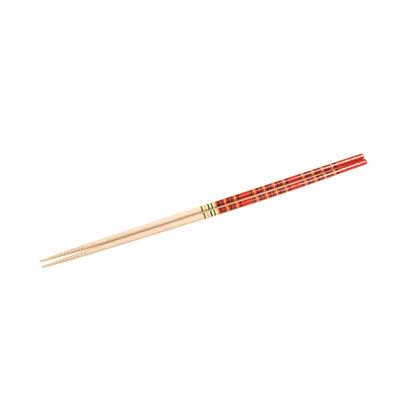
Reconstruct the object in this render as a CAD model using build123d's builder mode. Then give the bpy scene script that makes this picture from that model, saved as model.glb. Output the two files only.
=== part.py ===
"""A pair of long turned wooden chopsticks, lying side by side.

Frame: +X runs from the tips to the handle ends, +Y points to the far stick, +Z is up.
The origin is under the middle of the pair, on the surface that the sticks lie on.
"""
import os

from build123d import *

# One stick, in millimetres. Places along it are measured from the tip.
stick_length = 330.0
grooved_length = 46.5
taper_length = 161.0
tip_diameter = 2.05
grooved_end_diameter = 4.85
handle_diameter = 5.9
tip_chamfer = 0.3
handle_end_round = 1.1

# The grooves that are turned round the tip, so that food doesn't slip. They fade towards its end.
groove_pitch = 3.5
groove_width = 1.6
first_groove_depth = 0.14
last_groove_depth = 0.26

# How the pair lies: the gap between the handle ends, and how far the near stick lies ahead.
handle_end_gap = 0.6
near_stick_lead = 0.5

# Each handle has dried with a slight bend. Its two straight runs would meet this far from the
# handle end and this far towards the near side, and an arc of the bend radius rounds them off.
far_bend_from_end = 160.0
far_bend_offset = 0.7
far_bend_radius = 14000.0
near_bend_from_end = 97.0
near_bend_offset = 2.7
near_bend_radius = 2900.0

handle_radius = handle_diameter / 2
tip_radius = tip_diameter / 2
grooved_end_radius = grooved_end_diameter / 2
groove_count = int((grooved_length - groove_width) / groove_pitch)
depth_step = (last_groove_depth - first_groove_depth) / (groove_count - 1)


def bent_axis(tip, bend_from_end, bend_offset, bend_radius):
    """A stick's level axis, from its tip to its handle end."""
    handle_end = tip + Vector(stick_length, 0)
    bend = handle_end - Vector(bend_from_end, bend_offset)
    with BuildLine() as line:
        FilletPolyline(tip, bend, handle_end, radius=bend_radius)
    return line.wire()


def across(axis, distance):
    """The plane square to a stick's axis, at a distance along it from the tip."""
    return Plane(
        origin=axis.position_at(distance, PositionMode.LENGTH),
        x_dir=(0, 0, 1),
        z_dir=axis.tangent_at(distance, PositionMode.LENGTH),
    )


def lengthwise(start, direction):
    """The upright plane along a straight run of the axis: x along the run, y up."""
    return Plane(origin=start, x_dir=direction, z_dir=direction.cross(Vector(0, 0, 1)))


# Tips and handle ends lie side by side. The near stick bows out of the pair, so that the middle
# of the pair's box, which is over the origin, is half the bow nearer.
stick_spacing = handle_diameter + handle_end_gap
far_bend = (far_bend_from_end, far_bend_offset, far_bend_radius)
near_bend = (near_bend_from_end, near_bend_offset, near_bend_radius)
near_bow = -bent_axis(Vector(0, 0), *near_bend).bounding_box().min.Y
far_tip = Vector(
    -(stick_length + near_stick_lead) / 2,
    (stick_spacing + near_bow) / 2,
    handle_radius,
)
near_tip = far_tip + Vector(near_stick_lead, -stick_spacing)

os.makedirs("parts", exist_ok=True)

for name, axis in (
    ("far_chopstick", bent_axis(far_tip, *far_bend)),
    ("near_chopstick", bent_axis(near_tip, *near_bend)),
):
    handle_length = axis.length - handle_end_round
    taper_end = across(axis, taper_length)
    rounded_end = across(axis, handle_length)

    with BuildPart() as stick:
        # The tapering half is turned about a straight run, with a row of grooves round its tip.
        # Two arcs that meet without a corner give the taper its slim shoulder.
        tip_start = taper_end.origin - taper_end.z_dir * taper_length
        with BuildSketch(lengthwise(tip_start, taper_end.z_dir)):
            with BuildLine():
                shaft_flank = TangentArc(
                    (taper_length, handle_radius),
                    (grooved_length, grooved_end_radius),
                    tangent=(-1, 0),
                )
                tip_flank = TangentArc(
                    shaft_flank @ 1,
                    (0, tip_radius),
                    tangent=shaft_flank % 1,
                )
                Polyline(tip_flank @ 1, (0, 0), (taper_length, 0), shaft_flank @ 0)
            make_face()
            chamfer(vertices().group_by(Axis.X)[0].sort_by(Axis.Y)[-1], tip_chamfer)
            for groove in range(1, groove_count + 1):
                groove_depth = first_groove_depth + depth_step * (groove - 1)
                with Locations(tip_flank @ (1 - groove * groove_pitch / tip_flank.length)):
                    Polygon(
                        (0, -groove_depth),
                        (groove_width, groove_depth),
                        (-groove_width, groove_depth),
                        align=None,
                        mode=Mode.SUBTRACT,
                    )
        revolve(axis=Axis(taper_end.origin, taper_end.z_dir))

        # The handle keeps its thickness along the bend.
        with BuildSketch(taper_end):
            Circle(handle_radius)
        sweep(path=axis.trim(taper_length / axis.length, handle_length / axis.length))

        # Its end is turned to a round edge.
        with BuildSketch(lengthwise(rounded_end.origin, rounded_end.z_dir)):
            with BuildLine():
                end_edge = TangentArc(
                    (0, handle_radius),
                    (handle_end_round, handle_radius - handle_end_round),
                    tangent=(1, 0),
                )
                Polyline(end_edge @ 1, (handle_end_round, 0), (0, 0), end_edge @ 0)
            make_face()
        revolve(axis=Axis(rounded_end.origin, rounded_end.z_dir))

    stick.part.label = name
    export_step(stick.part, f"parts/{name}.step")
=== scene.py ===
import math

import bpy
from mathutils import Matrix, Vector


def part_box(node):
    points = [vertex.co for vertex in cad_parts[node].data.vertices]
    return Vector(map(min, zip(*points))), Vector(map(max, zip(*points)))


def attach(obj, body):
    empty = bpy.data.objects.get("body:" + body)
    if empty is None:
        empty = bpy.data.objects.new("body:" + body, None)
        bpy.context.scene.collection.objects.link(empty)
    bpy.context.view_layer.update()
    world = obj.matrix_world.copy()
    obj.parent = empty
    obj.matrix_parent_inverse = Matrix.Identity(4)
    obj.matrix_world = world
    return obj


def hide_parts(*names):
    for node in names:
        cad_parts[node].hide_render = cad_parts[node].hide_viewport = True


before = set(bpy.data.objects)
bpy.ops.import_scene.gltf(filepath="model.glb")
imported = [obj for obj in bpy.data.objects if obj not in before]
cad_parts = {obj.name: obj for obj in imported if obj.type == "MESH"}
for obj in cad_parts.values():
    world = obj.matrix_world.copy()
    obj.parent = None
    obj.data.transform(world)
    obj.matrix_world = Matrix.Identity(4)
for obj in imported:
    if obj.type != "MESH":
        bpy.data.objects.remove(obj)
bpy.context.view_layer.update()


# The turned blank: one length of pale, straight-grained wood.
# It is turned round between centres to a slim, convex taper, with a row of shallow grooves round
# the tip that hold the food, and the edge of its handle end is turned to a quarter round.
mm = 0.001
stick_length = 330.0 * mm
taper_length = 161.0 * mm
grooved_length = 46.5 * mm
handle_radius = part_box("far_chopstick")[1].z / 2
grooved_end_radius = 2.425 * mm
tip_radius = 1.025 * mm
tip_chamfer = 0.3 * mm
handle_end_round = 1.1 * mm
groove_pitch = 3.5 * mm
groove_count = 12
groove_width = 1.6 * mm
first_groove_depth = 0.14 * mm
last_groove_depth = 0.26 * mm
groove_softness = 0.1 * mm
lacquer_start = 160.4 * mm
round_steps = 64
shaft_step = 4.0 * mm
end_round_steps = 6
end_round_clearance = 0.22 * mm
groove_edge_steps = 2
smooth_up_to = math.radians(30)
hair = 0.01 * mm


def taper_radius(place):
    """The blank's radius before grooving, this far from the tip: two shallow curves with no corner."""
    shaft_run = taper_length - grooved_length
    shaft_fall = handle_radius - grooved_end_radius
    if place >= grooved_length:
        return handle_radius - shaft_fall * (max(taper_length - place, 0) / shaft_run) ** 2
    towards_tip = (grooved_length - place) / grooved_length
    straight_fall = 2 * shaft_fall / shaft_run * grooved_length
    rounded_fall = grooved_end_radius - tip_radius - straight_fall
    return grooved_end_radius - straight_fall * towards_tip - rounded_fall * towards_tip ** 2


def select_rings(mesh, places):
    """Selects the edges that run round the blank at any of these places along it."""
    bpy.ops.object.mode_set(mode="OBJECT")
    for edge in mesh.edges:
        ends = [mesh.vertices[corner].co.x for corner in edge.vertices]
        edge.select = any(max(abs(end - place) for end in ends) < hair for place in places)
    bpy.ops.object.mode_set(mode="EDIT")


# The places along the blank that the tool stops at, each with its radius, from the tip on.
profile = [(0, tip_radius - tip_chamfer), (tip_chamfer, taper_radius(tip_chamfer))]
groove_edges = []
for number in range(groove_count):
    floor = groove_pitch * (number + 1)
    fore_rim = floor - groove_width / 2
    back_rim = floor + groove_width / 2
    deepening = (last_groove_depth - first_groove_depth) * number / (groove_count - 1)
    profile.append((fore_rim, taper_radius(fore_rim)))
    profile.append((floor, taper_radius(floor) - first_groove_depth - deepening))
    profile.append((back_rim, taper_radius(back_rim)))
    groove_edges += [fore_rim, floor, back_rim]
grooves_end = groove_edges[-1]
round_start = stick_length - handle_end_round - end_round_clearance
for start, end in ((grooves_end, lacquer_start), (lacquer_start, round_start)):
    steps = round((end - start) / shaft_step)
    for step in range(1, steps + 1):
        place = start + (end - start) * step / steps
        profile.append((place, taper_radius(place)))
profile.append((stick_length, handle_radius))

bpy.ops.object.select_all(action="DESELECT")
bpy.ops.mesh.primitive_circle_add(
    vertices=round_steps, radius=profile[0][1], fill_type="NGON", rotation=(0, math.pi / 2, 0)
)
blank = bpy.context.object
bpy.ops.object.transform_apply(location=False, rotation=True, scale=False)
bpy.ops.object.mode_set(mode="EDIT")
bpy.ops.mesh.select_mode(type="FACE")
bpy.ops.mesh.select_all(action="SELECT")
for (place, radius), (next_place, next_radius) in zip(profile, profile[1:]):
    drawn = Vector((next_place - place, 0, 0))
    bpy.ops.mesh.extrude_region_move(TRANSFORM_OT_translate={"value": drawn})
    scale = next_radius / radius
    bpy.ops.transform.resize(value=(1, scale, scale), center_override=(next_place, 0, 0))

bpy.ops.mesh.select_mode(type="EDGE")
select_rings(blank.data, [stick_length])
bpy.ops.mesh.bevel(offset=handle_end_round, segments=end_round_steps, affect="EDGES")
select_rings(blank.data, groove_edges)
bpy.ops.mesh.bevel(offset=groove_softness, segments=groove_edge_steps, affect="EDGES")
bpy.ops.mesh.select_all(action="SELECT")
bpy.ops.mesh.normals_make_consistent(inside=False)
bpy.ops.object.mode_set(mode="OBJECT")
bpy.ops.object.shade_smooth_by_angle(angle=smooth_up_to)


# The bare wood: the tapering half is left unfinished, so that it grips.
# It is matte and pale, with fine fibres along the stick, and it has turned tan towards the tip,
# where the groove hollows are darkened with painted shade, and the cut end shows its end grain.
pale_wood = (0.905, 0.73, 0.545, 1)
rosy_wood = (0.905, 0.675, 0.51, 1)
fibre_brown = (0.72, 0.48, 0.28, 1)
tip_tan = (0.82, 0.595, 0.36, 1)
# Painted shade: the colour that darkens the hollows of the grooves.
groove_shade_brown = (0.48, 0.26, 0.11, 1)
end_grain = (0.36, 0.17, 0.09, 1)
fibre_size = {"pitch": 0.45 * mm, "length": 30 * mm}
growth_line_size = {"pitch": 1.6 * mm, "length": 160 * mm}
patch_size = {"pitch": 9 * mm, "length": 26 * mm}
patch_edge = (0.38, 0.62)
streak_edge = (0.5, 0.72)
growth_line_share = 0.34
fibre_share = 0.42
tan_share = 0.6
tan_length = 105 * mm
# How strong the painted shade in the grooves is: faint at the very tip, stronger further up.
groove_shade_least = 0.1
groove_shade_gain = 0.45
groove_shade_rise = (2 * mm, 22 * mm)
past_grooves = (0.8 * mm, 2.4 * mm)
end_grain_edge = (0.1 * mm, 0.9 * mm)
wood_roughness = 0.52
fibre_roughness = 0.25
wood_sheen = 0.3
fibre_relief = {"Strength": 0.4, "Distance": 0.05 * mm}


class Shade:
    """One output of a shader node: arithmetic on it adds Math nodes to the same material."""

    def __init__(self, tree, socket=None):
        self.tree = tree
        self.socket = socket

    def node(self, kind, settings, inputs, output=0):
        """Adds a node with these settings, then the values or links of its sockets."""
        added = self.tree.nodes.new(kind)
        for name, setting in settings.items():
            setattr(added, name, setting)
        for name, value in inputs.items():
            if isinstance(value, Shade):
                self.tree.links.new(value.socket, added.inputs[name])
            else:
                added.inputs[name].default_value = value
        return Shade(self.tree, added.outputs[output])

    def math(self, operation, *values):
        """Adds a Math node that does this operation on the values."""
        return self.node("ShaderNodeMath", {"operation": operation}, dict(enumerate(values)))

    def __add__(self, other):
        return self.math("ADD", self, other)

    def __radd__(self, other):
        return self.math("ADD", other, self)

    def __sub__(self, other):
        return self.math("SUBTRACT", self, other)

    def __rsub__(self, other):
        return self.math("SUBTRACT", other, self)

    def __mul__(self, other):
        return self.math("MULTIPLY", self, other)

    def __rmul__(self, other):
        return self.math("MULTIPLY", other, self)

    def __abs__(self):
        return self.math("ABSOLUTE", self)

    def part(self, axis):
        """One of a vector's three parts."""
        return self.node("ShaderNodeSeparateXYZ", {}, {"Vector": self}, axis)

    def rise(self, low, high):
        """0 below low and 1 above high, with a smooth step between."""
        return self.node(
            "ShaderNodeMapRange",
            {"interpolation_type": "SMOOTHSTEP"},
            {"Value": self, "From Min": low, "From Max": high},
        )

    def mix(self, first, second):
        """The first colour where this is 0, and the second where it is 1."""
        first_socket, second_socket, mixed_socket = 6, 7, 2
        return self.node(
            "ShaderNodeMix",
            {"data_type": "RGBA"},
            {"Factor": self, first_socket: first, second_socket: second},
            mixed_socket,
        )


def new_finish(name):
    """A material with its shader, and the place of each point in the straight blank."""
    material = bpy.data.materials.new(name)
    material.use_nodes = True
    shader = material.node_tree.nodes["Principled BSDF"]
    start = Shade(material.node_tree)
    blank_place = start.node("ShaderNodeAttribute", {"attribute_name": "blank_place"}, {}, "Vector")
    return material, shader, blank_place


def streaks(blank_place, pitch, length):
    """Noise drawn out along the stick: streaks of about this pitch and length."""
    stretched = blank_place.node(
        "ShaderNodeVectorMath",
        {"operation": "MULTIPLY"},
        {0: blank_place, 1: (1 / length, 1 / pitch, 1 / pitch)},
    )
    return blank_place.node("ShaderNodeTexNoise", {}, {"Vector": stretched, "Scale": 1.0, "Detail": 2.0})


def feed(shader, name, shade):
    """Links a shade that varies over the surface to one of the shader's sockets."""
    shade.tree.links.new(shade.socket, shader.inputs[name])


bare_wood, shader, blank_place = new_finish("bare_wood")
along = blank_place.part("X")
fibres = streaks(blank_place, **fibre_size)
growth_lines = streaks(blank_place, **growth_line_size)
patches = streaks(blank_place, **patch_size)
wood_colour = patches.rise(*patch_edge).mix(pale_wood, rosy_wood)
wood_colour = (growth_line_share * growth_lines.rise(*streak_edge)).mix(wood_colour, fibre_brown)
wood_colour = (fibre_share * fibres.rise(*streak_edge)).mix(wood_colour, fibre_brown)
wood_colour = (tan_share * (1 - along.rise(0, tan_length))).mix(wood_colour, tip_tan)
pitches = along * (1 / groove_pitch)
from_groove = abs(pitches.math("FRACT", pitches + 0.5) - 0.5) * groove_pitch
# Painted shade in the grooves: darkest at each groove's floor, fading to its rims, only on the grooved
# length.
groove_shade_mask = 1 - from_groove.rise(0, groove_width / 2)
grooved = 1 - (along - grooves_end).rise(*past_grooves)
groove_shade = groove_shade_least + groove_shade_gain * along.rise(*groove_shade_rise)
wood_colour = (groove_shade_mask * grooved * groove_shade).mix(wood_colour, groove_shade_brown)
wood_colour = (1 - along.rise(*end_grain_edge)).mix(wood_colour, end_grain)
feed(shader, "Base Color", wood_colour)
feed(shader, "Roughness", wood_roughness + fibre_roughness * fibres)
feed(shader, "Normal", fibres.node("ShaderNodeBump", {}, {"Height": fibres, **fibre_relief}))
shader.inputs["Specular IOR Level"].default_value = wood_sheen


# The lacquered handle: the thicker half is dipped cream and red, ringed with colour and cleared with
# gloss. The rings stand at one even pitch from the bare wood on: four on the cream, then bands of olive,
# thin amber and maroon on the red, with three rings left out before each longer band.
cream = (0.98, 0.93, 0.60, 1)
red = (0.67, 0.024, 0.003, 1)
amber = (0.96, 0.42, 0.07, 1)
ring_paints = {
    "green": {"colour": (0.06, 0.13, 0.004, 1), "width": 1.75 * mm},
    "tan": {"colour": (0.85, 0.46, 0.10, 1), "width": 1.95 * mm},
    "brown": {"colour": (0.05, 0.016, 0.004, 1), "width": 1.75 * mm},
    "amber": {"colour": amber, "width": 1.75 * mm},
    "thin amber": {"colour": amber, "width": 1.05 * mm},
    "maroon": {"colour": (0.12, 0.001, 0.001, 1), "width": 1.9 * mm},
    "olive": {"colour": (0.115, 0.04, 0.003, 1), "width": 2.0 * mm},
}
triplet = ["olive", "thin amber", "maroon"]
left_out = ["plain", "plain", "plain"]
first_band = ["amber", "maroon"] + 2 * triplet
ring_plan = ["green", "tan", "brown", "green"] + first_band + 2 * (left_out + 4 * triplet)
first_ring = 161.95 * mm
ring_pitch = 3.35 * mm
red_start = 175.3 * mm
ring_edge = 0.12 * mm
hand_shake = 0.2 * mm
hand_shake_size = {"pitch": 2.5 * mm, "length": 5 * mm}
clouding_size = {"pitch": 2.0 * mm, "length": 12 * mm}
lacquer_roughness = 0.3
clouding_roughness = 0.12
clouding_relief = {"Strength": 0.03, "Distance": 0.01 * mm}
clear_gloss = {"Specular IOR Level": 0.0, "Coat Weight": 0.34, "Coat IOR": 2.2, "Coat Roughness": 0.16}

lacquer, shader, blank_place = new_finish("striped_lacquer")
along = blank_place.node("ShaderNodeAttribute", {"attribute_name": "ring_place"}, {}, "Fac")
printed = along + (streaks(blank_place, **hand_shake_size) - 0.5) * hand_shake
lacquer_colour = printed.rise(red_start - ring_edge, red_start + ring_edge).mix(cream, red)
for number, name in enumerate(ring_plan):
    if name != "plain":
        paint = ring_paints[name]
        half_width = paint["width"] / 2
        from_middle = abs(printed - (first_ring + number * ring_pitch))
        ring = 1 - from_middle.rise(half_width - ring_edge, half_width + ring_edge)
        lacquer_colour = ring.mix(lacquer_colour, paint["colour"])
clouding = streaks(blank_place, **clouding_size)
feed(shader, "Base Color", lacquer_colour)
feed(shader, "Roughness", lacquer_roughness + clouding_roughness * clouding)
feed(shader, "Normal", clouding.node("ShaderNodeBump", {}, {"Height": clouding, **clouding_relief}))
for name, value in clear_gloss.items():
    shader.inputs[name].default_value = value

blank.data.materials.append(bare_wood)
blank.data.materials.append(lacquer)
for face in blank.data.polygons:
    face.material_index = int(face.center.x > lacquer_start)


# The pair as it lies: two sticks from one turning, each dried with a slight bend in its handle.
# They lie on their handles side by side, tips just clear of the table, and nothing holds them together.
# Each has its own grain, from its place in the board, and the near one's rings lead towards its tip.
arc_steps = 24
bends = {
    "far_chopstick": {"from_end": 160.0 * mm, "offset": 0.7 * mm, "radius": 14000.0 * mm},
    "near_chopstick": {"from_end": 97.0 * mm, "offset": 2.7 * mm, "radius": 2900.0 * mm},
}
board_places = {
    "far_chopstick": Vector((0, 0, 0)),
    "near_chopstick": Vector((0, 40 * mm, 15 * mm)),
}
ring_leads = {"far_chopstick": 0, "near_chopstick": 0.45 * mm}


def tip_centre(node):
    """The middle of a stick's flat tip, from the corners of its rim."""
    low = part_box(node)[0]
    corners = [vertex.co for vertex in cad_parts[node].data.vertices]
    rim = [corner.y for corner in corners if corner.x < low.x + tip_chamfer / 4]
    return Vector((low.x, (min(rim) + max(rim)) / 2, handle_radius))


def bent_axis(tip, from_end, offset, radius):
    """The points of a stick's level axis: straight, round an arc, and straight on to the handle end.

    The straight runs would meet this far from the handle end and this far to the near side.
    An arc of this radius rounds them off, but the tapering half stays straight.
    """
    heading = -math.atan2(offset, stick_length - from_end)
    turn = math.atan2(offset, from_end) - heading
    arc_start = math.hypot(stick_length - from_end, offset) - radius * math.tan(turn / 2)
    bend_start = max(arc_start, taper_length)
    turned_before = (bend_start - arc_start) / radius
    heading += turned_before
    turn -= turned_before
    runs = [(heading, bend_start)]
    for step in range(arc_steps):
        runs.append((heading + turn * (step + 0.5) / arc_steps, radius * turn / arc_steps))
    runs.append((heading + turn, stick_length - bend_start - radius * turn))
    points = [tip]
    for angle, run in runs:
        points.append(points[-1] + Vector((math.cos(angle), math.sin(angle), 0)) * run)
    return points


for node, bend in bends.items():
    stick = bpy.data.objects.new(node.replace("chopstick", "stick"), blank.data.copy())
    bpy.context.collection.objects.link(stick)
    stick.data.attributes.new("blank_place", "FLOAT_VECTOR", "POINT")
    stick.data.attributes.new("ring_place", "FLOAT", "POINT")
    for vertex in stick.data.vertices:
        stick.data.attributes["blank_place"].data[vertex.index].vector = vertex.co + board_places[node]
        stick.data.attributes["ring_place"].data[vertex.index].value = vertex.co.x + ring_leads[node]

    line = bpy.data.curves.new("axis", "CURVE")
    line.dimensions = "3D"
    points = bent_axis(tip_centre(node), **bend)
    spline = line.splines.new("POLY")
    spline.points.add(len(points) - 1)
    for knot, point in zip(spline.points, points):
        knot.co = (*point, 1)
    axis = bpy.data.objects.new("axis", line)
    bpy.context.collection.objects.link(axis)

    bpy.ops.object.select_all(action="DESELECT")
    stick.select_set(True)
    bpy.context.view_layer.objects.active = stick
    follow = stick.modifiers.new("follow_axis", "CURVE")
    follow.object = axis
    follow.deform_axis = "POS_X"
    bpy.ops.object.modifier_apply(modifier=follow.name)
    bpy.data.objects.remove(axis)

    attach(stick, "root")
    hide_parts(node)

bpy.data.objects.remove(blank)


# The studio: a cream table, a dim even sky, three soft boxes in a row that draw the highlight along the
# handles, and a wide one on the left for the tips. Around the pair the table shows as white to the eye
# and in the gloss. Between the sticks it keeps its own colour, which warms the shadow there.
table_size = 40.0
table_cream = (0.95, 0.78, 0.58, 1)
table_matte = {"Roughness": 0.9, "Specular IOR Level": 0.0, "Emission Strength": 1.0}
table_glow = 0.6
gap_middle = 2 * mm
glow_beside = (2.5 * mm, 6 * mm)
glow_at_tips = (100 * mm, 140 * mm)
glow_past_handles = (161 * mm, 166 * mm)
far_white = (150 * mm, 600 * mm)
sky_white = (1, 1, 1, 1)
sky_strength = 0.2
box_height = 0.8
row_aside = -0.16
row_depth = 0.36

bpy.ops.object.select_all(action="DESELECT")
bpy.ops.mesh.primitive_plane_add(size=table_size)
table = bpy.context.object
table.name = "table"
table_paint = bpy.data.materials.new("table_paint")
table_paint.use_nodes = True
shader = table_paint.node_tree.nodes["Principled BSDF"]
shader.inputs["Base Color"].default_value = table_cream
for name, value in table_matte.items():
    shader.inputs[name].default_value = value
start = Shade(table_paint.node_tree)
table_place = start.node("ShaderNodeTexCoord", {}, {}, "Object")
beside = abs(table_place.part("Y") - gap_middle).rise(*glow_beside)
at_tips = (0 - table_place.part("X")).rise(*glow_at_tips)
past_handles = table_place.part("X").rise(*glow_past_handles)
around = start.math("MAXIMUM", beside, at_tips + past_handles)
distance = start.node("ShaderNodeVectorMath", {"operation": "LENGTH"}, {0: table_place}, "Value")
eye, gloss, glass = (
    start.node("ShaderNodeLightPath", {}, {}, ray)
    for ray in ("Is Camera Ray", "Is Glossy Ray", "Is Transmission Ray")
)
seen = start.math("MAXIMUM", eye, start.math("MAXIMUM", gloss, glass))
feed(shader, "Emission Color", seen * (table_glow * around + distance.rise(*far_white)))
table.data.materials.append(table_paint)

world = bpy.data.worlds.new("sky")
bpy.context.scene.world = world
world.use_nodes = True
sky = world.node_tree.nodes["Background"]
sky.inputs["Color"].default_value = sky_white
sky.inputs["Strength"].default_value = sky_strength


def soft_box(name, place, size, radiance):
    """An area lamp that faces straight down, as bright per area as its radiance."""
    lamp = bpy.data.lights.new(name, "AREA")
    lamp.shape = "RECTANGLE"
    lamp.size, lamp.size_y = size
    lamp.energy = radiance * math.pi * size[0] * size[1]
    box = bpy.data.objects.new(name, lamp)
    box.location = place
    box.visible_camera = False
    bpy.context.collection.objects.link(box)


soft_box("bright_box", place=(0.37, row_aside, box_height), size=(0.08, row_depth), radiance=47)
soft_box("middle_box", place=(0.305, row_aside, box_height), size=(0.05, row_depth), radiance=19)
soft_box("faint_box", place=(0.23, row_aside, box_height), size=(0.10, row_depth), radiance=8)
soft_box("left_box", place=(-0.45, 0.15, box_height), size=(0.4, 0.5), radiance=5.3)


# The camera looks down on the pair from the near side, from a good arm's length and a little to the left.
# Its long lens keeps the tips and the handle ends at nearly one scale.
camera_azimuth = math.radians(-19.67)
camera_elevation = math.radians(65)
camera_distance = 1.3
camera_aim = Vector((-1.56, 13.15, 3.0)) * mm
lens_length = 121.7
back = Vector((
    math.sin(camera_azimuth) * math.cos(camera_elevation),
    -math.cos(camera_azimuth) * math.cos(camera_elevation),
    math.sin(camera_elevation),
))
lens = bpy.data.cameras.new("camera")
lens.lens = lens_length
camera = bpy.data.objects.new("camera", lens)
camera.location = camera_aim + back * camera_distance
camera.rotation_euler = back.to_track_quat("Z", "Y").to_euler()
bpy.context.collection.objects.link(camera)
bpy.context.scene.camera = camera
bpy.context.scene.view_settings.view_transform = "Standard"
